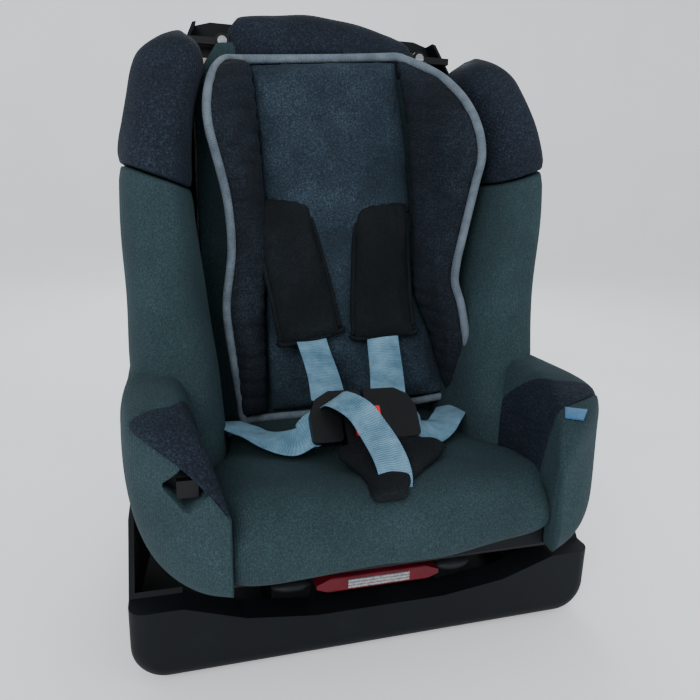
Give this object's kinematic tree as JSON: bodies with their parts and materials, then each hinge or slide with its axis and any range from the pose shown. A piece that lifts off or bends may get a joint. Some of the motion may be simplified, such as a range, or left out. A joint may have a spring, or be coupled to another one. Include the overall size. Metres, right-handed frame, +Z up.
{
  "type": "convertible child car seat",
  "caption": "Padded bucket seat for a small child with a five-point harness, deep side wings and an infant insert, reclining on the rails of a tray-shaped base.",
  "frame": {"origin": "middle of the object's footprint box, on the surface that it stands on", "axes": "+Z up, -Y the way the seated child faces, +X to the right seen from in front"},
  "size_m": [0.45, 0.496, 0.622],
  "materials": {
    "black_shell": "moulded black polypropylene, fine grain",
    "black_gloss": "moulded black nylon, semi-gloss",
    "grey_plastic": "grey acetal, matt",
    "foot_rubber": "moulded rubber",
    "zinc_steel": "zinc-plated steel",
    "handle_red": "moulded crimson plastic",
    "button_red": "moulded bright red plastic",
    "blank_label": "plain grey printed film with nothing on it",
    "pad_foam": "open-cell foam",
    "cover_teal": "heathered dark teal knit",
    "denim_navy": "dark slate-navy heathered twill",
    "insert_denim": "blue-grey heathered twill",
    "piping_grey": "grey binding tape",
    "webbing_blue": "woven polyester webbing",
    "pad_black": "black woven nylon, quilted",
    "tag_blue": "plain woven blue tag"
  },
  "bodies": {
    "base": {"base_shell": "black_shell", "rail_left": "black_shell", "rail_right": "black_shell", "rack_support": "black_shell", "lock_rack": "zinc_steel", "rubber_feet": "foot_rubber", "stop_bumpers": "grey_plastic", "rail_screws": "zinc_steel"},
    "recline_lever": {"lever_arm": "zinc_steel", "lock_pin": "zinc_steel", "recline_handle": "handle_red", "handle_label": "blank_label"},
    "button": {"buckle_button": "button_red"},
    "adjuster": {"adjuster_lever": "grey_plastic"},
    "clip_left": {"clip_lever_left": "black_gloss"},
    "clip_right": {"clip_lever_right": "black_gloss"},
    "seat": {"seat_shell": "black_shell", "back_ribs": "black_shell", "guide_shoes": "grey_plastic", "shoe_bolts": "zinc_steel", "lever_bracket": "zinc_steel", "lever_pin": "zinc_steel", "lever_spring": "zinc_steel", "pan_foam": "pad_foam", "cushion_cover": "cover_teal", "back_foam": "pad_foam", "back_cover": "cover_teal", "head_panel": "denim_navy", "wing_cover_left": "cover_teal", "arm_cover_left": "cover_teal", "wing_cover_right": "cover_teal", "arm_cover_right": "cover_teal", "infant_insert": "insert_denim", "insert_bolsters": "insert_denim", "shoulder_strap_left": "webbing_blue", "lap_strap_left": "webbing_blue", "rear_strap_left": "webbing_blue", "shoulder_strap_right": "webbing_blue", "lap_strap_right": "webbing_blue", "rear_strap_right": "webbing_blue", "crotch_strap": "webbing_blue", "adjuster_strap": "webbing_blue", "adjuster_tail": "webbing_blue", "splitter_plate": "zinc_steel", "strap_anchors": "zinc_steel", "buckle_body": "black_gloss", "button_spring": "zinc_steel", "shoulder_pad_left": "pad_black", "tongue_left": "black_gloss", "shoulder_pad_right": "pad_black", "tongue_right": "black_gloss", "crotch_pad": "pad_black", "adjuster_body": "black_gloss", "adjuster_pin": "zinc_steel", "clip_base_left": "black_gloss", "clip_pin_left": "zinc_steel", "belt_hook": "black_gloss", "clip_base_right": "black_gloss", "clip_pin_right": "zinc_steel"}
  },
  "joints": [
    {"name": "recline", "type": "hinge", "parent": "base", "child": "seat", "pos_m": [0, 0, 0.715], "axis": [-1, 0, 0], "range_deg": [0, 10]},
    {"name": "lever_squeeze", "type": "hinge", "parent": "seat", "child": "recline_lever", "pos_m": [0, 0.066, 0.087], "axis": [-1, 0, 0], "range_deg": [0, 4], "stiffness_Nm_per_rad": 12, "springref_deg": -2.86},
    {"name": "buckle_press", "type": "slide", "parent": "seat", "child": "button", "axis": [0, 0.766, -0.6428], "range_m": [0, 0.003], "stiffness_N_per_m": 600, "springref_m": -0.002, "deforming": ["button_spring"]},
    {"name": "adjuster_press", "type": "hinge", "parent": "seat", "child": "adjuster", "pos_m": [0, -0.204, 0.15], "axis": [-1, 0, 0], "range_deg": [0, 15], "stiffness_Nm_per_rad": 0.5, "springref_deg": -5.73},
    {"name": "clip_left_open", "type": "hinge", "parent": "seat", "child": "clip_left", "pos_m": [-0.114, 0.092, 0.574], "axis": [0, 1, 0], "range_deg": [0, 60]},
    {"name": "clip_right_open", "type": "hinge", "parent": "seat", "child": "clip_right", "pos_m": [0.114, 0.092, 0.574], "axis": [0, -1, 0], "range_deg": [0, 60]}
  ]
}
